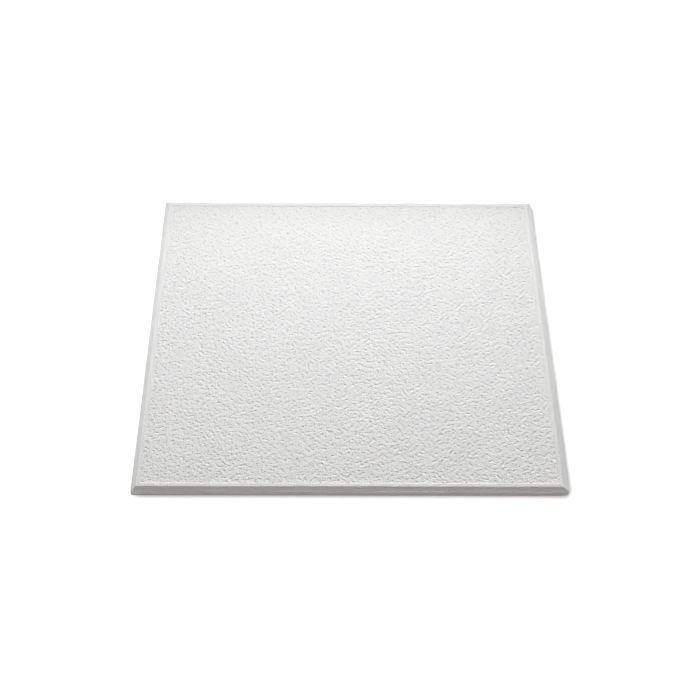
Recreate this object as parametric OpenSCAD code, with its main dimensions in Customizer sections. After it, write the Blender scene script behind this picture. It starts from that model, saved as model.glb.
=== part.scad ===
// Moulded foam ceiling tile. It lies on its flat back, with its face up.
// The origin is the middle of the back, X runs along the front edge and Z is the tile's normal.

/* [Tile] */
// Side of the square tile, measured over the parting line
tile_side = 500; // [300:10:540]
// Thickness, from the flat back to the rim of the face
tile_t = 10; // [8:0.5:20]

/* [Edge] */
// Width of the bevel round the face, seen from the front
bevel_w = 6; // [3:0.5:12]
// Drop of the bevel, from the rim to the parting line
bevel_drop = 2.2; // [1:0.1:4]
// How far the ridge that the mould leaves at the parting line stands out
ridge_w = 0.3; // [0.1:0.05:0.8]
// Height of that ridge
ridge_h = 0.4; // [0.2:0.1:1]

/* [Face] */
// Width of the smooth rim between the bevel and the sunk field
rim_w = 4.4; // [2:0.2:12]
// Depth of the sunk field below the rim, halfway between its bumps and dents
field_drop = 0.9; // [0.8:0.1:2.5]

/* [Stucco] */
// Distance between neighbouring bumps and dents
grain = 6.5; // [6.5:0.5:20]
// Height of the tallest bump above the middle of the field
bump_h = 0.45; // [0.1:0.05:0.7]
// Depth of the deepest dent below the middle of the field
dent_d = 0.75; // [0.1:0.05:1.2]
// How far a bump or dent may stray from its regular place, as a share of the grain
stray = 0.3; // [0:0.05:0.4]
// Pick of the stucco: another number gives another field of the same kind
stucco_pick = 11; // [1:1:99]

/* [Wear] */
// Radius of the two worn back corners, seen from the front
back_corner_r = 2.5; // [0.5:0.5:8]
// Reach of the crushed spot at the front right corner of the back
crush = 6; // [1:0.2:6.2]

/* [Hidden] */
$fn = 64;

half = tile_side / 2;
// Flat side of the tile, behind the ridge
side_at = half - ridge_w;
// Height of the parting line, where the two halves of the mould met
parting_z = tile_t - bevel_drop;
// Outer and inner edge of the rim
rim_at = half - bevel_w;
field_at = rim_at - rim_w;
// Height of the field halfway between bumps and dents
field_z = tile_t - field_drop;

// One cell of the stucco is as near to the grain as a whole number of them allows
cells = max(2, round(2 * field_at / grain));
cell = 2 * field_at / cells;
// Room that a cutting shape keeps beyond the surface that it cuts
over = 1;

// One list of chance numbers for the heights and two for the places
knots = (cells + 1) * (cells + 1);
chance_z = rands(-1, 1, knots, stucco_pick);
chance_x = rands(-1, 1, knots, stucco_pick + 1);
chance_y = rands(-1, 1, knots, stucco_pick + 2);

// Place of a knot of the stucco in those lists
function knot(i, j) = j * (cells + 1) + i;

// Knots inside the field stray, and those on its border stay in line
function strays(i) = i > 0 && i < cells ? stray * cell : 0;
function knot_x(i, j) = -field_at + i * cell + strays(i) * chance_x[knot(i, j)];
function knot_y(i, j) = -field_at + j * cell + strays(j) * chance_y[knot(i, j)];

// Bumps are lower than dents are deep, as in trowelled plaster
function knot_lift(c) = c > 0 ? c * bump_h : c * dent_d;
function knot_z(i, j) = min(field_z + knot_lift(chance_z[knot(i, j)]), tile_t - field_drop / 4);

// A cell is two triangles, split along the other diagonal in every second cell
function cell_faces(a, b, c, d, turned) = turned ? [[a, b, c], [a, c, d]] : [[a, b, d], [b, c, d]];

// Upper half of the mould's textured plate: what it fills is left open above the field
module stucco_plate() {
    last = cells;
    top_z = tile_t + over;
    floor_knots = [
        for (j = [0:last])
            for (i = [0:last])
                [knot_x(i, j), knot_y(i, j), knot_z(i, j)]
    ];
    lid = [for (c = [[-1, -1], [1, -1], [1, 1], [-1, 1]]) [c[0] * field_at, c[1] * field_at, top_z]];
    floor_faces = [
        for (j = [0:last - 1])
            for (i = [0:last - 1])
                each cell_faces(
                    knot(i, j), knot(i + 1, j), knot(i + 1, j + 1), knot(i, j + 1), (i + j) % 2 == 0
                )
    ];
    front = [for (i = [0:last]) knot(last - i, 0)];
    right = [for (j = [0:last]) knot(last, last - j)];
    back = [for (i = [0:last]) knot(i, last)];
    left = [for (j = [0:last]) knot(0, j)];
    walls = [
        concat(front, [knots, knots + 1]),
        concat(right, [knots + 1, knots + 2]),
        concat(back, [knots + 2, knots + 3]),
        concat(left, [knots + 3, knots])
    ];
    lid_face = [[knots + 3, knots + 2, knots + 1, knots]];
    polyhedron(points = concat(floor_knots, lid), faces = concat(floor_faces, walls, lid_face));
}

// Section of the tile from edge to edge, without the field
module edge_section() {
    right = [
        [side_at, 0],
        [side_at, parting_z - ridge_h],
        [half, parting_z - ridge_h],
        [half, parting_z],
        [side_at, parting_z],
        [rim_at, tile_t]
    ];
    left = [for (k = [len(right) - 1:-1:0]) [-right[k][0], right[k][1]]];
    polygon(concat(right, left));
}

// The section run along one pair of edges
module edge_run() {
    rotate([90, 0, 0])
        linear_extrude(tile_side + 2 * over, center = true)
            edge_section();
}

// Square tile with a plain face: the two runs meet in mitres at the corners
module blank() {
    intersection() {
        edge_run();
        rotate([0, 0, 90])
            edge_run();
    }
}

// What a corner loses when it is rounded over its whole height
module round_off(x_side, r) {
    translate([x_side * half, half, 0])
        mirror([x_side > 0 ? 1 : 0, 0, 0])
            difference() {
                translate([-over, -r, -over])
                    cube([r + over, r + over, tile_t + 2 * over]);
                translate([r, -r, -2 * over])
                    cylinder(r = r, h = tile_t + 4 * over);
            }
}

// What the front right corner of the back loses where it is crushed round.
// The ball that shapes it crosses each of the three edges at the reach of the crush.
module crushed_spot() {
    ball_in = 1.2 * crush;
    ball_r = sqrt(2 * ball_in ^ 2 + (ball_in - crush) ^ 2);
    translate([side_at, -side_at, 0])
        difference() {
            translate([-ball_in, -over, -over])
                cube([ball_in + over, ball_in + over, ball_in + over]);
            translate([-ball_in, ball_in, ball_in])
                sphere(r = ball_r);
        }
}

// The whole tile, moulded in one piece
module tile() {
    color("whitesmoke")
        difference() {
            blank();
            stucco_plate();
            round_off(-1, back_corner_r);
            round_off(1, back_corner_r);
            crushed_spot();
        }
}

tile();
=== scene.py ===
import math

import bpy
from mathutils import Matrix, Vector


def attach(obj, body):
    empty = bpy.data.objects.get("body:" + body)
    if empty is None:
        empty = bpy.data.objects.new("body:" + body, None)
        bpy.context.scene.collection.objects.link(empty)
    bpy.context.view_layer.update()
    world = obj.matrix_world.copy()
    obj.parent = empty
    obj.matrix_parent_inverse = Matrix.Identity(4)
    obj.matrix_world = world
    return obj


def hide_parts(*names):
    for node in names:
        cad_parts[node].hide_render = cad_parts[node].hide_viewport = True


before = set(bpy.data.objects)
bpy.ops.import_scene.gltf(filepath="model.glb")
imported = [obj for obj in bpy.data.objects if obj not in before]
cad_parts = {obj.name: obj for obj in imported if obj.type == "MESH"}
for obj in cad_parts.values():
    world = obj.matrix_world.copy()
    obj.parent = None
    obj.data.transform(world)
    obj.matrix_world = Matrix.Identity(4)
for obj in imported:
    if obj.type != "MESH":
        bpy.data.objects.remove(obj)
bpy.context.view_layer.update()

# The tile: one piece of expanded polystyrene, moulded in steam from white beads.
# The mould gives it a bevelled edge with a thin ridge at the parting line, a smooth rim
# and a sunk field of stucco. The back stays flat for glue, and nothing is fixed to it.

# Sizes in metres, the solid's own where it has them. Three follow the photograph more closely: the field
# is shallower, the ridge stands out further, and the pits of the stucco are nearer together.
tile_sizes = {
    "Side": 0.500,
    "Thickness": 0.010,
    "Bevel width": 0.006,
    "Bevel drop": 0.0022,
    "Ridge width": 0.0005,
    "Ridge height": 0.0004,
    "Rim width": 0.0044,
    "Wall lean": 0.0003,
    "Field drop": 0.0002,
    "Stucco grain": 0.0060,
    "Stucco depth": 0.0004,
    "Stucco lean": 0.0038,
    "Back corner radius": 0.0025,
    "Front corner radius": 0.0004,
    "Crush reach": 0.006,
}


def add_node(tree, kind, fed=None, **settings):
    """Adds a node to a tree, with its settings, and fills or links its inputs by name or number."""
    node = tree.nodes.new(kind)
    for name, value in settings.items():
        setattr(node, name, value)
    for key, value in (fed or {}).items():
        if isinstance(value, bpy.types.Node):
            value = value.outputs[0]
        if isinstance(value, bpy.types.NodeSocket):
            tree.links.new(value, node.inputs[key])
        else:
            node.inputs[key].default_value = value
    return node


def linear(hex_colour):
    """An sRGB hex colour as linear red, green, blue and alpha."""
    channels = [int(hex_colour[k:k + 2], 16) / 255 for k in (1, 3, 5)]
    return [c / 12.92 if c <= 0.04045 else ((c + 0.055) / 1.055) ** 2.4 for c in channels] + [1.0]


# Expanded polystyrene is white right through and scatters light, so it looks matt and soft.
# The mould leaves a faint net of bead edges on it, 3.2 mm apart, which shows most on the smooth parts.
foam = bpy.data.materials.new("white_moulded_polystyrene_foam")
foam.use_nodes = True
tree = foam.node_tree
tree.nodes.clear()
place = add_node(tree, "ShaderNodeTexCoord").outputs["Object"]

# Bead net: the width of a bead, the share of it that is seam on each side, and its swell above the seam.
bead_width = 0.0032
bead_seam = 0.18
bead_rise = 0.0003
bead_edges = add_node(
    tree, "ShaderNodeTexVoronoi", {"Vector": place, "Scale": 1 / bead_width, "Randomness": 0.9},
    feature="DISTANCE_TO_EDGE",
)
bead_swell = add_node(
    tree, "ShaderNodeMapRange",
    {"Value": bead_edges, "From Min": 0.0, "From Max": bead_seam, "To Min": 0.0, "To Max": 1.0},
    interpolation_type="SMOOTHSTEP",
)
bead_bump = add_node(
    tree, "ShaderNodeBump", {"Height": bead_swell, "Strength": 1.0, "Distance": bead_rise},
)

# Where the stucco is: inside the border of the field, and not on the back.
field_border = tile_sizes["Side"] / 2 - tile_sizes["Bevel width"] - tile_sizes["Rim width"]
border_fade = 0.0002
mid_height = tile_sizes["Thickness"] / 2
mid_fade = 0.001
away = add_node(tree, "ShaderNodeVectorMath", {0: place}, operation="ABSOLUTE")
away = add_node(tree, "ShaderNodeSeparateXYZ", {0: away})
outermost = add_node(
    tree, "ShaderNodeMath", {0: away.outputs["X"], 1: away.outputs["Y"]}, operation="MAXIMUM",
)
in_field = add_node(
    tree, "ShaderNodeMapRange",
    {"Value": outermost, "From Min": field_border - border_fade, "From Max": field_border,
     "To Min": 1.0, "To Max": 0.0},
)
face_up = add_node(
    tree, "ShaderNodeMapRange",
    {"Value": away.outputs["Z"], "From Min": mid_height, "From Max": mid_height + mid_fade,
     "To Min": 0.0, "To Max": 1.0},
)
on_stucco = add_node(tree, "ShaderNodeMath", {0: in_field, 1: face_up}, operation="MULTIPLY")

# Stucco: a smooth skin with pits of two sizes, 6 mm and 3.9 mm apart, the larger ones in slanting rows.
# The mould drew the pits' front walls steeper, so the pattern leans: the place that it is read at moves
# with its height. The mesh holds the larger pits, and this bump sharpens them and adds the fine ones.
row_slant = math.radians(41)
pit_roundness = 0.7
pit_stray = 0.75
pit_middle = 0.42


def pits_at(tree, place, per_metre):
    """Adds the larger pits to a tree: their height at a place, which is below nought inside a pit."""
    turned = add_node(
        tree, "ShaderNodeVectorRotate", {"Vector": place, "Angle": row_slant}, rotation_type="Z_AXIS",
    )
    pits = add_node(
        tree, "ShaderNodeTexVoronoi",
        {"Vector": turned, "Scale": per_metre, "Smoothness": pit_roundness, "Randomness": pit_stray},
        feature="SMOOTH_F1", voronoi_dimensions="2D",
    )
    return add_node(tree, "ShaderNodeMath", {0: pits, 1: -pit_middle}, operation="ADD")


def leaning_place(tree, place, per_metre, lean):
    """Adds to a tree the place moved along Y by the lean, times the height of the larger pits there."""
    shift = pits_at(tree, place, per_metre)
    shift = add_node(tree, "ShaderNodeMath", {0: shift, 1: lean}, operation="MULTIPLY")
    shift = add_node(tree, "ShaderNodeCombineXYZ", {"Y": shift})
    return add_node(tree, "ShaderNodeVectorMath", {0: place, 1: shift}, operation="ADD")


flat_place = add_node(tree, "ShaderNodeVectorMath", {0: place, 1: (1, 1, 0)}, operation="MULTIPLY")
pits_per_metre = 1 / tile_sizes["Stucco grain"]
leaning = leaning_place(tree, flat_place, pits_per_metre, tile_sizes["Stucco lean"])
pits = pits_at(tree, leaning, pits_per_metre)
fine_grain = 0.0039
fine_share = 0.6
fine_pits = add_node(
    tree, "ShaderNodeTexVoronoi",
    {"Vector": leaning, "Scale": 1 / fine_grain, "Smoothness": pit_roundness, "Randomness": 1.0},
    feature="SMOOTH_F1", voronoi_dimensions="2D",
)
fine_pits = add_node(
    tree, "ShaderNodeMath", {0: fine_pits, 1: fine_share, 2: -pit_middle * fine_share},
    operation="MULTIPLY_ADD",
)
stucco = add_node(tree, "ShaderNodeMath", {0: pits, 1: fine_pits}, operation="ADD")

# The skin between the pits is level, so what stands above it is cut off softly.
skin_level = -0.1
skin_softness = 0.25
bump_depth = 0.0019
stucco = add_node(
    tree, "ShaderNodeMath", {0: stucco, 1: skin_level, 2: skin_softness}, operation="SMOOTH_MIN",
)
stucco = add_node(tree, "ShaderNodeMath", {0: stucco, 1: on_stucco}, operation="MULTIPLY")
grain_bump = add_node(
    tree, "ShaderNodeBump",
    {"Height": stucco, "Strength": 1.0, "Distance": bump_depth, "Normal": bead_bump},
)

# The pits are deep for their width and shade themselves, which bump can't draw, so painted shade greys the
# white there.
pit_floor = -0.55
pit_brink = -0.15
pit_shade = 0.5
pit_shade_mask = add_node(
    tree, "ShaderNodeMapRange",
    {"Value": stucco, "From Min": pit_floor, "From Max": pit_brink, "To Min": pit_shade, "To Max": 0.0},
    interpolation_type="SMOOTHSTEP",
)
# Inputs 6 and 7 are the two colours: the foam's white and the painted shade of the pits.
white = add_node(
    tree, "ShaderNodeMix", {"Factor": pit_shade_mask, 6: linear("#F2F2F2"), 7: linear("#DED8D5")}, data_type="RGBA",
).outputs[2]
shader = add_node(
    tree, "ShaderNodeBsdfPrincipled",
    {"Base Color": white, "Roughness": 0.78, "IOR": 1.5, "Specular IOR Level": 0.3, "Normal": grain_bump},
)
add_node(tree, "ShaderNodeOutputMaterial", {"Surface": shader})

# The tree that grows the tile. Its inputs are the sizes, as many cells across the field as keep the piece
# under 200,000 triangles, the seed of the breaks in the ridge, and the finish.
tile_inputs = {name: ("Float", value) for name, value in tile_sizes.items()}
tile_inputs["Field cells"] = ("Int", 284)
tile_inputs["Ridge seed"] = ("Float", 11.0)
tile_inputs["Finish"] = ("Material", foam)
tree = bpy.data.node_groups.new("moulded tile", "GeometryNodeTree")
tree.interface.new_socket("Tile", in_out="OUTPUT", socket_type="NodeSocketGeometry")
for name, (kind, _) in tile_inputs.items():
    tree.interface.new_socket(name, in_out="INPUT", socket_type="NodeSocket" + kind)
size = add_node(tree, "NodeGroupInput").outputs

# Grid of the face: the cells of the field, and on each side a row for its wall, one for the rim, five for
# the bevel and one for the ridge. Each strip ends at the row that is named for it.
wall_row = 1
rim_row = 2
bevel_row = 7
ridge_row = 8
across = add_node(tree, "ShaderNodeMath", {0: size["Field cells"], 1: 2 * ridge_row + 1}, operation="ADD")
grid = add_node(
    tree, "GeometryNodeMeshGrid",
    {"Size X": 1.0, "Size Y": 1.0, "Vertices X": across, "Vertices Y": across},
)

# Column and row of each vertex, counted from the middle, and how much of that lies in and off the field.
index = add_node(tree, "GeometryNodeInputIndex")
column = add_node(tree, "ShaderNodeMath", {0: index, 1: across}, operation="DIVIDE")
column = add_node(tree, "ShaderNodeMath", {0: column}, operation="FLOOR")
row = add_node(tree, "ShaderNodeMath", {0: index, 1: across}, operation="MODULO")
count = add_node(tree, "ShaderNodeCombineXYZ", {"X": column, "Y": row})
middle = add_node(tree, "ShaderNodeMath", {0: across, 1: -1.0}, operation="ADD")
middle = add_node(tree, "ShaderNodeMath", {0: middle, 1: 0.5}, operation="MULTIPLY")
middle = add_node(tree, "ShaderNodeCombineXYZ", {"X": middle, "Y": middle})
count = add_node(tree, "ShaderNodeVectorMath", {0: count, 1: middle}, operation="SUBTRACT")
side_sign = add_node(tree, "ShaderNodeVectorMath", {0: count}, operation="SIGN")
steps_out = add_node(tree, "ShaderNodeVectorMath", {0: count}, operation="ABSOLUTE")
half_cells = add_node(tree, "ShaderNodeMath", {0: size["Field cells"], 1: 0.5}, operation="MULTIPLY")
half_cells = add_node(tree, "ShaderNodeCombineXYZ", {"X": half_cells, "Y": half_cells})
field_steps = add_node(tree, "ShaderNodeVectorMath", {0: steps_out, 1: half_cells}, operation="MINIMUM")
edge_steps = add_node(tree, "ShaderNodeVectorMath", {0: steps_out, 1: half_cells}, operation="SUBTRACT")
edge_steps = add_node(tree, "ShaderNodeVectorMath", {0: edge_steps, 1: (0, 0, 0)}, operation="MAXIMUM")

# Half of the side, half of the field, and one cell.
half_side = add_node(tree, "ShaderNodeMath", {0: size["Side"], 1: 0.5}, operation="MULTIPLY")
half_field = add_node(tree, "ShaderNodeMath", {0: half_side, 1: size["Bevel width"]}, operation="SUBTRACT")
half_field = add_node(tree, "ShaderNodeMath", {0: half_field, 1: size["Rim width"]}, operation="SUBTRACT")
cell = add_node(tree, "ShaderNodeMath", {0: half_field, 1: 2.0}, operation="MULTIPLY")
cell = add_node(tree, "ShaderNodeMath", {0: cell, 1: size["Field cells"]}, operation="DIVIDE")

# Place on the face: even cells on the field, then the wall, the rim, the bevel and the ridge.
# Inputs 7 to 10 are the two ends of the rows and of the share of the strip's width that they give.
place = add_node(tree, "ShaderNodeVectorMath", {0: field_steps, "Scale": cell}, operation="SCALE")
flat_rim = add_node(
    tree, "ShaderNodeMath", {0: size["Rim width"], 1: size["Wall lean"]}, operation="SUBTRACT",
)
bevel_run = add_node(
    tree, "ShaderNodeMath", {0: size["Bevel width"], 1: size["Ridge width"]}, operation="SUBTRACT",
)
for first, last, width in (
    (0, wall_row, size["Wall lean"]), (wall_row, rim_row, flat_rim),
    (rim_row, bevel_row, bevel_run), (bevel_row, ridge_row, size["Ridge width"]),
):
    part = add_node(
        tree, "ShaderNodeMapRange",
        {"Vector": edge_steps, 7: (first,) * 3, 8: (last,) * 3, 9: (0, 0, 0), 10: (1, 1, 1)},
        data_type="FLOAT_VECTOR",
    ).outputs["Vector"]
    part = add_node(tree, "ShaderNodeVectorMath", {0: part, "Scale": width}, operation="SCALE")
    place = add_node(tree, "ShaderNodeVectorMath", {0: place, 1: part}, operation="ADD")
place = add_node(tree, "ShaderNodeVectorMath", {0: place, 1: side_sign}, operation="MULTIPLY")
flat_place = add_node(tree, "ShaderNodeSeparateXYZ", {0: place})

# Height of the face: up the wall to the rim and down the bevel to the parting line.
steps_xy = add_node(tree, "ShaderNodeSeparateXYZ", {0: edge_steps})
outer_step = add_node(
    tree, "ShaderNodeMath", {0: steps_xy.outputs["X"], 1: steps_xy.outputs["Y"]}, operation="MAXIMUM",
)
sunk = add_node(
    tree, "ShaderNodeMapRange",
    {"Value": outer_step, "From Min": 0, "From Max": wall_row, "To Min": size["Field drop"], "To Max": 0.0},
)
bevelled = add_node(
    tree, "ShaderNodeMapRange",
    {"Value": outer_step, "From Min": rim_row, "From Max": bevel_row,
     "To Min": 0.0, "To Max": size["Bevel drop"]},
)
height = add_node(tree, "ShaderNodeMath", {0: size["Thickness"], 1: sunk}, operation="SUBTRACT")
height = add_node(tree, "ShaderNodeMath", {0: height, 1: bevelled}, operation="SUBTRACT")

# Stucco: the larger pits of the finish's own pattern, with the skin between them level, on the field alone.
mesh_skin_level = 0.0
mesh_skin_softness = 0.2
pits_per_metre = add_node(tree, "ShaderNodeMath", {0: 1.0, 1: size["Stucco grain"]}, operation="DIVIDE")
leaning = leaning_place(tree, place, pits_per_metre, size["Stucco lean"])
stucco = pits_at(tree, leaning, pits_per_metre)
stucco = add_node(
    tree, "ShaderNodeMath", {0: stucco, 1: mesh_skin_level, 2: mesh_skin_softness}, operation="SMOOTH_MIN",
)
stucco = add_node(tree, "ShaderNodeMath", {0: stucco, 1: size["Stucco depth"]}, operation="MULTIPLY")
in_field = add_node(
    tree, "ShaderNodeMapRange",
    {"Value": outer_step, "From Min": 0, "From Max": wall_row, "To Min": 1.0, "To Max": 0.0},
)
stucco = add_node(tree, "ShaderNodeMath", {0: stucco, 1: in_field}, operation="MULTIPLY")
height = add_node(tree, "ShaderNodeMath", {0: height, 1: stucco}, operation="ADD")
place = add_node(
    tree, "ShaderNodeCombineXYZ",
    {"X": flat_place.outputs["X"], "Y": flat_place.outputs["Y"], "Z": height},
)
shell = add_node(tree, "GeometryNodeSetPosition", {"Geometry": grid, "Position": place})

# Edge below the parting line: the ridge and its underside, run out from the open edges of the face.
# Inputs 2 and 3 compare the number of faces beside an edge with one.
faces_beside = add_node(tree, "GeometryNodeInputMeshEdgeNeighbors")
open_edge = add_node(
    tree, "FunctionNodeCompare", {2: faces_beside.outputs[0], 3: 1}, data_type="INT", operation="EQUAL",
)
drop = add_node(tree, "ShaderNodeMath", {0: size["Ridge height"], 1: -1.0}, operation="MULTIPLY")
drop = add_node(tree, "ShaderNodeCombineXYZ", {"Z": drop})
ridge = add_node(
    tree, "GeometryNodeExtrudeMesh",
    {"Mesh": shell, "Selection": open_edge, "Offset": drop, "Offset Scale": 1.0}, mode="EDGES",
)
shelf = add_node(
    tree, "GeometryNodeExtrudeMesh",
    {"Mesh": ridge.outputs["Mesh"], "Selection": ridge.outputs["Top"], "Offset Scale": 0.0}, mode="EDGES",
)
here = add_node(tree, "GeometryNodeInputPosition")
flat_side = add_node(tree, "ShaderNodeMath", {0: half_side, 1: size["Ridge width"]}, operation="SUBTRACT")
shrink = add_node(tree, "ShaderNodeMath", {0: flat_side, 1: half_side}, operation="DIVIDE")
shrink = add_node(tree, "ShaderNodeCombineXYZ", {"X": shrink, "Y": shrink, "Z": 1.0})
drawn_in = add_node(tree, "ShaderNodeVectorMath", {0: here, 1: shrink}, operation="MULTIPLY")
shell = add_node(
    tree, "GeometryNodeSetPosition",
    {"Geometry": shelf.outputs["Mesh"], "Selection": shelf.outputs["Top"], "Position": drawn_in},
)

# The flat side below it, in rows that let the crushed corner curve.
side_rows = 5
side_height = add_node(
    tree, "ShaderNodeMath", {0: size["Thickness"], 1: size["Bevel drop"]}, operation="SUBTRACT",
)
side_height = add_node(
    tree, "ShaderNodeMath", {0: side_height, 1: size["Ridge height"]}, operation="SUBTRACT",
)
drop = add_node(tree, "ShaderNodeMath", {0: side_height, 1: -1.0 / side_rows}, operation="MULTIPLY")
drop = add_node(tree, "ShaderNodeCombineXYZ", {"Z": drop})
last_edge = shelf.outputs["Top"]
for _ in range(side_rows):
    shell = add_node(
        tree, "GeometryNodeExtrudeMesh",
        {"Mesh": shell, "Selection": last_edge, "Offset": drop, "Offset Scale": 1.0}, mode="EDGES",
    )
    last_edge = shell.outputs["Top"]

# Ridge of the parting line: thin and broken, and fullest towards the front right corner.
# How near a spot is to that corner is told by its X less its Y.
thinnest_at = -0.1
fullest_at = 0.25
thinnest = 0.2
breaks_per_metre = 120.0
break_from = 0.4
break_to = 0.55
broken_share = 0.7
spot = add_node(tree, "ShaderNodeSeparateXYZ", {0: here})
towards = add_node(
    tree, "ShaderNodeMath", {0: spot.outputs["X"], 1: spot.outputs["Y"]}, operation="SUBTRACT",
)
towards = add_node(
    tree, "ShaderNodeMapRange",
    {"Value": towards, "From Min": thinnest_at, "From Max": fullest_at, "To Min": thinnest, "To Max": 1.0},
)
broken = add_node(
    tree, "ShaderNodeTexNoise",
    {"Vector": here, "W": size["Ridge seed"], "Scale": breaks_per_metre, "Detail": 3.0, "Roughness": 0.6},
    noise_dimensions="4D",
)
broken = add_node(
    tree, "ShaderNodeMapRange",
    {"Value": broken, "From Min": break_from, "From Max": break_to, "To Min": broken_share, "To Max": 1.0},
)
fullness = add_node(tree, "ShaderNodeMath", {0: towards, 1: broken}, operation="MULTIPLY")
ridge_out = add_node(
    tree, "ShaderNodeMath", {0: size["Ridge width"], 1: fullness, 2: flat_side}, operation="MULTIPLY_ADD",
)
limit = add_node(tree, "ShaderNodeCombineXYZ", {"X": ridge_out, "Y": ridge_out, "Z": 1.0})
span = add_node(tree, "ShaderNodeVectorMath", {0: here}, operation="ABSOLUTE")
span = add_node(tree, "ShaderNodeVectorMath", {0: span, 1: limit}, operation="MINIMUM")

# Corner radius: small at the front left, worn at the two far corners, and crushed at the front right,
# where it grows down to the flat back in a curve.
crush_curve = 1.9
crush_spread = 1.16
crushed = add_node(
    tree, "ShaderNodeMapRange",
    {"Value": spot.outputs["Z"], "From Min": 0.0, "From Max": size["Crush reach"],
     "To Min": 1.0, "To Max": 0.0},
)
crushed = add_node(tree, "ShaderNodeMath", {0: crushed, 1: crush_curve}, operation="POWER")
crushed = add_node(tree, "ShaderNodeMath", {0: crushed, 1: size["Crush reach"]}, operation="MULTIPLY")
crushed = add_node(tree, "ShaderNodeMath", {0: crushed, 1: crush_spread}, operation="MULTIPLY")
crushed = add_node(
    tree, "ShaderNodeMath", {0: crushed, 1: size["Front corner radius"]}, operation="MAXIMUM",
)
at_back = add_node(tree, "FunctionNodeCompare", {0: spot.outputs["Y"], 1: 0.0}, operation="GREATER_THAN")
at_right = add_node(tree, "FunctionNodeCompare", {0: spot.outputs["X"], 1: 0.0}, operation="GREATER_THAN")
front_radius = add_node(
    tree, "GeometryNodeSwitch",
    {"Switch": at_right, "False": size["Front corner radius"], "True": crushed}, input_type="FLOAT",
)
radius = add_node(
    tree, "GeometryNodeSwitch",
    {"Switch": at_back, "False": front_radius, "True": size["Back corner radius"]}, input_type="FLOAT",
)

# Beyond the straight stretch of the edge, the square corner is drawn in to a round one.
straight = add_node(tree, "ShaderNodeMath", {0: half_side, 1: radius}, operation="SUBTRACT")
straight = add_node(tree, "ShaderNodeCombineXYZ", {"X": straight, "Y": straight})
beyond = add_node(tree, "ShaderNodeVectorMath", {0: span, 1: straight}, operation="SUBTRACT")
beyond = add_node(tree, "ShaderNodeVectorMath", {0: beyond, 1: (0, 0, 0)}, operation="MAXIMUM")
beyond = add_node(tree, "ShaderNodeVectorMath", {0: beyond, 1: (1, 1, 0)}, operation="MULTIPLY")
beyond_xy = add_node(tree, "ShaderNodeSeparateXYZ", {0: beyond})
longest = add_node(
    tree, "ShaderNodeMath", {0: beyond_xy.outputs["X"], 1: beyond_xy.outputs["Y"]}, operation="MAXIMUM",
)
reach = add_node(tree, "ShaderNodeVectorMath", {0: beyond}, operation="LENGTH").outputs["Value"]
draw = add_node(tree, "ShaderNodeMath", {0: longest, 1: reach}, operation="DIVIDE")
rounded = add_node(tree, "ShaderNodeVectorMath", {0: beyond, "Scale": draw}, operation="SCALE")
kept = add_node(tree, "ShaderNodeVectorMath", {0: span, 1: straight}, operation="MINIMUM")
kept = add_node(tree, "ShaderNodeVectorMath", {0: kept, 1: rounded}, operation="ADD")
spot_sign = add_node(tree, "ShaderNodeVectorMath", {0: here}, operation="SIGN")
kept = add_node(tree, "ShaderNodeVectorMath", {0: kept, 1: spot_sign}, operation="MULTIPLY")
kept = add_node(tree, "ShaderNodeSeparateXYZ", {0: kept})
kept = add_node(
    tree, "ShaderNodeCombineXYZ",
    {"X": kept.outputs["X"], "Y": kept.outputs["Y"], "Z": spot.outputs["Z"]},
)
shell = add_node(tree, "GeometryNodeSetPosition", {"Geometry": shell.outputs["Mesh"], "Position": kept})

# Back: one flat face inside the lowest row, turned to face down, and welded to it.
weld_gap = 0.000002
outline = add_node(tree, "GeometryNodeMeshToCurve", {"Mesh": shell, "Selection": last_edge})
back = add_node(tree, "GeometryNodeFillCurve", {"Curve": outline}, mode="NGONS")
back = add_node(tree, "GeometryNodeFlipFaces", {"Mesh": back})
whole = add_node(tree, "GeometryNodeJoinGeometry")
tree.links.new(shell.outputs[0], whole.inputs[0])
tree.links.new(back.outputs[0], whole.inputs[0])
whole = add_node(tree, "GeometryNodeMergeByDistance", {"Geometry": whole, "Distance": weld_gap})

# Smooth shading, broken at the edges of the rim, the bevel, the ridge and the back, but not in the stucco.
crease_angle = math.radians(12)
border_gap = 0.0001
whole = add_node(
    tree, "GeometryNodeSetShadeSmooth", {"Geometry": whole, "Shade Smooth": True}, domain="FACE",
)
edge_angle = add_node(tree, "GeometryNodeInputMeshEdgeAngle")
folded = add_node(tree, "FunctionNodeCompare", {0: edge_angle, 1: crease_angle}, operation="GREATER_THAN")
spread = add_node(tree, "ShaderNodeVectorMath", {0: here}, operation="ABSOLUTE")
spread = add_node(tree, "ShaderNodeSeparateXYZ", {0: spread})
spread = add_node(
    tree, "ShaderNodeMath", {0: spread.outputs["X"], 1: spread.outputs["Y"]}, operation="MAXIMUM",
)
off_field = add_node(tree, "ShaderNodeMath", {0: spread, 1: half_field}, operation="SUBTRACT")
off_field = add_node(tree, "FunctionNodeCompare", {0: off_field, 1: border_gap}, operation="GREATER_THAN")
crease = add_node(tree, "FunctionNodeBooleanMath", {0: folded, 1: off_field}, operation="AND")
whole = add_node(
    tree, "GeometryNodeSetShadeSmooth",
    {"Geometry": whole, "Selection": crease, "Shade Smooth": False}, domain="EDGE",
)
whole = add_node(tree, "GeometryNodeRealizeInstances", {"Geometry": whole})
whole = add_node(tree, "GeometryNodeSetMaterial", {"Geometry": whole, "Material": size["Finish"]})
add_node(tree, "NodeGroupOutput", {0: whole})

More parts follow.
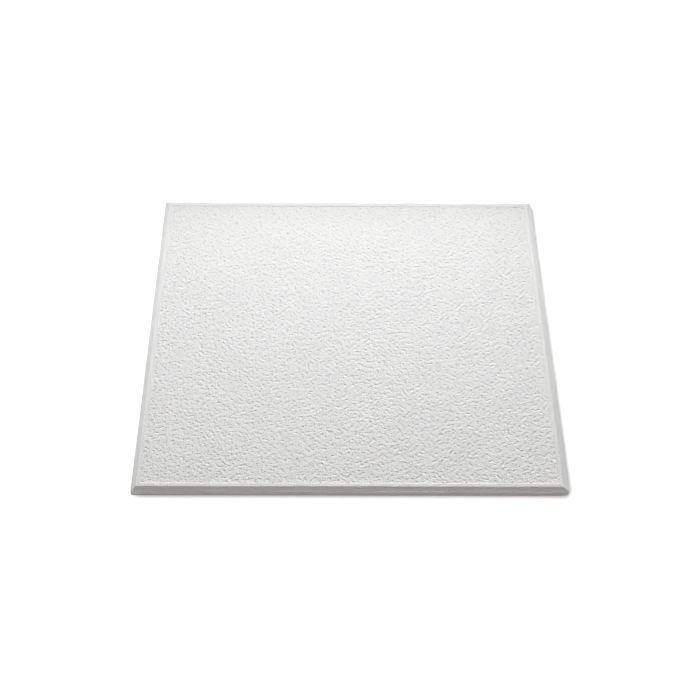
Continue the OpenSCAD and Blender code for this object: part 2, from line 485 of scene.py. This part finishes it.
# The tree runs once, on an empty mesh, and what it grows is kept as the tile's own plain mesh.
grown = bpy.data.objects.new("tile_growing", bpy.data.meshes.new("tile_growing"))
bpy.context.scene.collection.objects.link(grown)
moulding = grown.modifiers.new("moulded tile", "NODES")
moulding.node_group = tree
for item in tree.interface.items_tree:
    if item.in_out == "INPUT":
        moulding[item.identifier] = tile_inputs[item.name][1]
bpy.context.view_layer.update()
moulded = bpy.data.meshes.new_from_object(grown.evaluated_get(bpy.context.evaluated_depsgraph_get()))
bpy.data.objects.remove(grown)
tile = bpy.data.objects.new("foam_tile", moulded)
moulded.name = "foam_tile"
bpy.context.scene.collection.objects.link(tile)
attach(tile, "root")
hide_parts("tile")

# The ground: a sweep of matt white paper, laid under the tile, which takes its soft shadow.
# The camera sees the paper lifted to white, but for a strip beside the tile where it shows the lamps' light
# alone:
# the tile's real shadow falls there, and the missing lift greys the paper too, as painted shade. The strip
# ends at a square with round corners, a little to the right and to the back of the tile, so the painted
# shade is widest there.
ground_reach = 6.0
ground_height = -0.0001
shade_strip_shift = (-0.0034, -0.0013, 0)
core_side = tile_sizes["Side"] / 2 - 0.008
shade_strip_core = (core_side, core_side, 0)
lift_start = 0.0067
lift_end = 0.0147
sweep = bpy.data.materials.new("white_paper_sweep")
sweep.use_nodes = True
tree = sweep.node_tree
tree.nodes.clear()
paper = add_node(tree, "ShaderNodeBsdfDiffuse", {"Color": linear("#F4F4F4")})
spot = add_node(tree, "ShaderNodeTexCoord").outputs["Object"]
spot = add_node(tree, "ShaderNodeVectorMath", {0: spot, 1: shade_strip_shift}, operation="ADD")
spot = add_node(tree, "ShaderNodeVectorMath", {0: spot}, operation="ABSOLUTE")
spot = add_node(tree, "ShaderNodeVectorMath", {0: spot, 1: shade_strip_core}, operation="SUBTRACT")
spot = add_node(tree, "ShaderNodeVectorMath", {0: spot, 1: (0, 0, 0)}, operation="MAXIMUM")
spot = add_node(tree, "ShaderNodeVectorMath", {0: spot}, operation="LENGTH").outputs["Value"]
lift = add_node(
    tree, "ShaderNodeMapRange",
    {"Value": spot, "From Min": lift_start, "From Max": lift_end, "To Min": 0.0, "To Max": 1.0},
)
lift = add_node(tree, "ShaderNodeEmission", {"Color": (1, 1, 1, 1), "Strength": lift})
seen = add_node(tree, "ShaderNodeLightPath")
lifted = add_node(tree, "ShaderNodeAddShader", {0: paper, 1: lift})
paper = add_node(tree, "ShaderNodeMixShader", {0: seen.outputs["Is Camera Ray"], 1: paper, 2: lifted})
add_node(tree, "ShaderNodeOutputMaterial", {"Surface": paper})
ground = bpy.data.meshes.new("ground")
corners = [(x * ground_reach, y * ground_reach, 0) for x, y in ((-1, -1), (1, -1), (1, 1), (-1, 1))]
ground.from_pydata(corners, [], [(0, 1, 2, 3)])
ground.materials.append(sweep)
ground = bpy.data.objects.new("ground", ground)
ground.location.z = ground_height
bpy.context.scene.collection.objects.link(ground)

# The studio: a wide softbox stands behind the tile and faces up, so that its light grazes the face and the
# front edge is in its own shade. A weak lamp far behind helps it, a strip over the back edge evens out the
# light, and a pale card far in front fills the shade a little.
for name, place, aim, width, depth, power, colour in (
    # The place, the point that the lamp faces, and its width and depth are in metres, its power in watts.
    ("softbox_behind", (-0.026, 0.831, 0.666), (-0.026, 0.031, 1.265), 1.6, 0.9, 64.9, "#FFFFFF"),
    ("window_behind", (-0.489, 5.933, 2.369), (0, 0, 0), 1.6, 0.6, 6.54, "#FFFFFF"),
    ("strip_above", (-0.009, 0.262, 0.180), (-0.009, 0.262, 0), 0.66, 0.10, 0.313, "#FFFFFF"),
    ("card_in_front", (0.0, -3.842, 1.370), (0, 0, 0), 1.2, 0.6, 35.0, "#FFF6EF"),
):
    lamp = bpy.data.lights.new(name, "AREA")
    lamp.shape = "RECTANGLE"
    lamp.size, lamp.size_y = width, depth
    lamp.energy = power
    lamp.color = linear(colour)[:3]
    lamp = bpy.data.objects.new(name, lamp)
    lamp.location = place
    lamp.rotation_euler = (Vector(place) - Vector(aim)).to_track_quat("Z", "Y").to_euler()
    lamp.visible_camera = False
    bpy.context.scene.collection.objects.link(lamp)

# The room: dim and a little warm where the tile sees it, and white to the camera.
room_glow = 0.002
room = bpy.data.worlds.new("pale_room")
room.use_nodes = True
tree = room.node_tree
tree.nodes.clear()
seen = add_node(tree, "ShaderNodeLightPath")
fill = add_node(tree, "ShaderNodeBackground", {"Color": linear("#FFF6EF"), "Strength": room_glow})
white = add_node(tree, "ShaderNodeBackground", {"Color": (1, 1, 1, 1), "Strength": 1.0})
backdrop = add_node(tree, "ShaderNodeMixShader", {0: seen.outputs["Is Camera Ray"], 1: fill, 2: white})
add_node(tree, "ShaderNodeOutputWorld", {"Surface": backdrop})
bpy.context.scene.world = room
bpy.context.scene.view_settings.view_transform = "Standard"

# The camera: it looks down on the tile from the front, with a long lens. Its place and its focal
# length, in pixels of the photograph's frame, come from the four corners of the tile there.
turn = math.radians(-0.7885)
rise = math.radians(46.5909)
roll = math.radians(0.73)
looked_at = Vector((0.0012734, -0.0233786, 0.0028))
distance = 1.845447
focal_pixels = 1481.44
frame_pixels = 700
film_width = 36.0
back_way = Vector((math.sin(turn) * math.cos(rise), -math.cos(turn) * math.cos(rise), math.sin(rise)))
right_way = (-back_way).cross(Vector((0, 0, 1))).normalized()
up_way = right_way.cross(-back_way)
level_right = math.cos(roll) * right_way + math.sin(roll) * up_way
level_up = -math.sin(roll) * right_way + math.cos(roll) * up_way
camera = bpy.data.cameras.new("camera")
camera.sensor_width = film_width
camera.lens = focal_pixels / frame_pixels * film_width
camera.clip_start, camera.clip_end = 0.05, 50.0
camera = bpy.data.objects.new("camera", camera)
pose = Matrix((level_right, level_up, back_way)).transposed().to_4x4()
pose.translation = looked_at + back_way * distance
camera.matrix_world = pose
bpy.context.scene.collection.objects.link(camera)
bpy.context.scene.camera = camera
